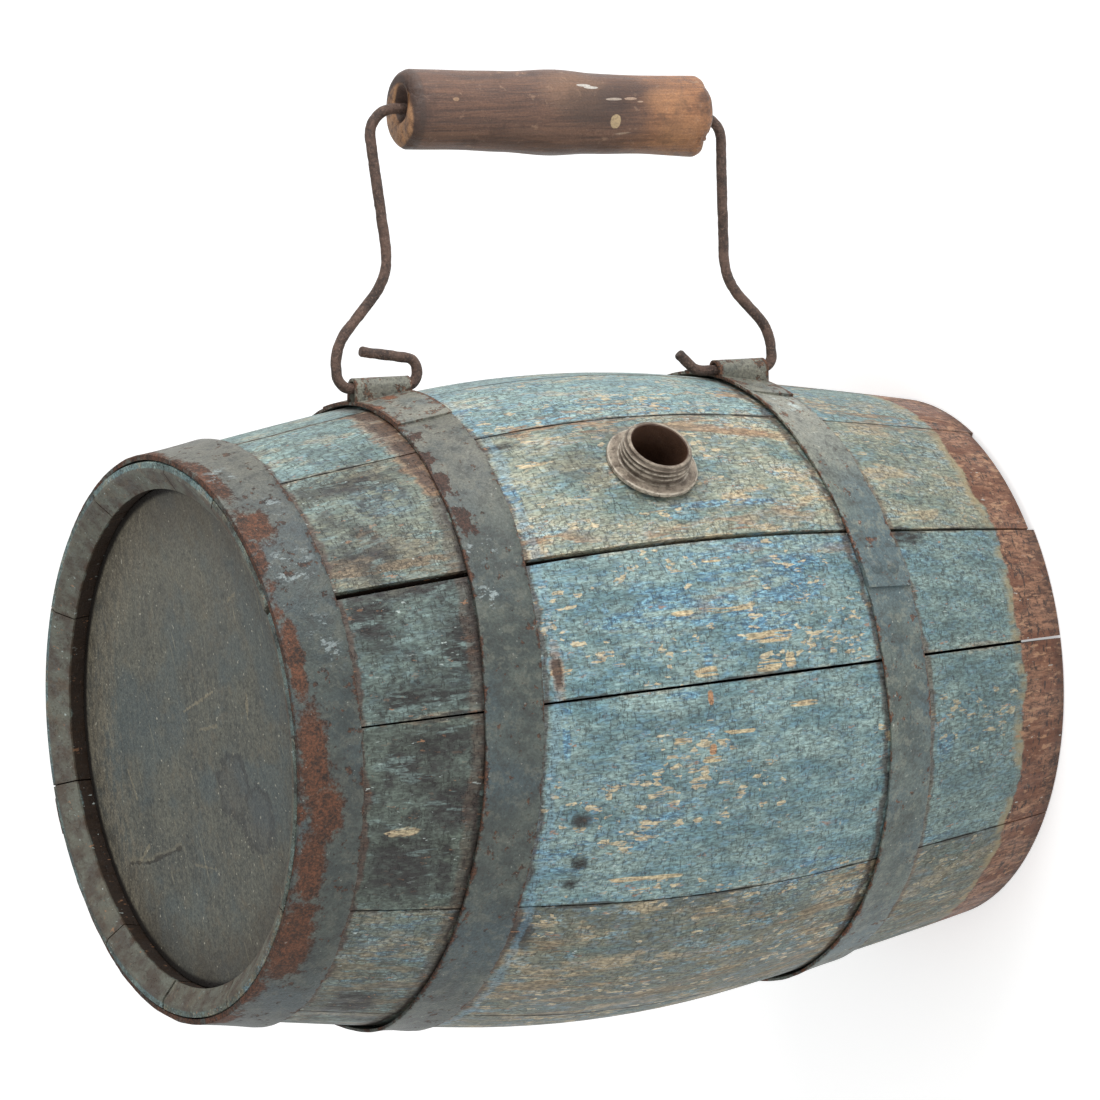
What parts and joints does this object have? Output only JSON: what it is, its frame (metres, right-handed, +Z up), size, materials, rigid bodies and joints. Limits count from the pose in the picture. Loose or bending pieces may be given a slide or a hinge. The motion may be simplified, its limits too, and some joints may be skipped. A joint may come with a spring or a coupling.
{
  "type": "rundlet",
  "caption": "Small stave keg with iron hoops, a screw spout in its side and a swinging wire bail with a turned wooden grip.",
  "frame": {"origin": "in the middle of the ground that the whole part takes up, in the plane of the bare stave ends that it stands on; the axis of the keg is at x -0.0201, y 0.0284", "axes": "+Z up the axis of the keg towards its hooped end, -Y along the spout, out of its mouth; the raised bail points between +X and -Y"},
  "size_m": [0.2638, 0.2804, 0.2992],
  "materials": {
    "painted_stave": "worn, crackled blue-grey paint over wood",
    "painted_head": "dull grey-blue paint over wood, stained",
    "painted_iron": "blue-grey paint with rust at the edges",
    "rivet_iron": "painted and rusted rivet heads",
    "spout_metal": "dull grey cast metal",
    "bail_iron": "brown rusted wire",
    "grip_wood": "dark, worn bare wood"
  },
  "bodies": {
    "keg": {"stave_01": "painted_stave", "stave_02": "painted_stave", "stave_03": "painted_stave", "stave_04": "painted_stave", "stave_05": "painted_stave", "stave_06": "painted_stave", "stave_07": "painted_stave", "stave_08": "painted_stave", "stave_09": "painted_stave", "stave_10": "painted_stave", "stave_11": "painted_stave", "head_upper": "painted_head", "head_lower": "painted_head", "head_hoop": "painted_iron", "upper_hoop": "painted_iron", "lower_hoop": "painted_iron", "ear_upper": "painted_iron", "ear_lower": "painted_iron", "hoop_rivets": "rivet_iron", "ear_rivets": "rivet_iron", "spout": "spout_metal"},
    "bail": {"bail_wire": "bail_iron"},
    "grip": {"grip": "grip_wood"}
  },
  "joints": [
    {"name": "bail_swing", "type": "hinge", "parent": "keg", "child": "bail", "pos_m": [0.04061, -0.064, 0.07831], "axis": [0.1002, 0.0637, 0.9929], "range_deg": [-90, 80]},
    {"name": "grip_spin", "type": "hinge", "parent": "bail", "child": "grip", "pos_m": [0.10205, -0.12648, 0.07854], "axis": [0.1376, 0.0252, 0.9902], "continuous": true}
  ]
}
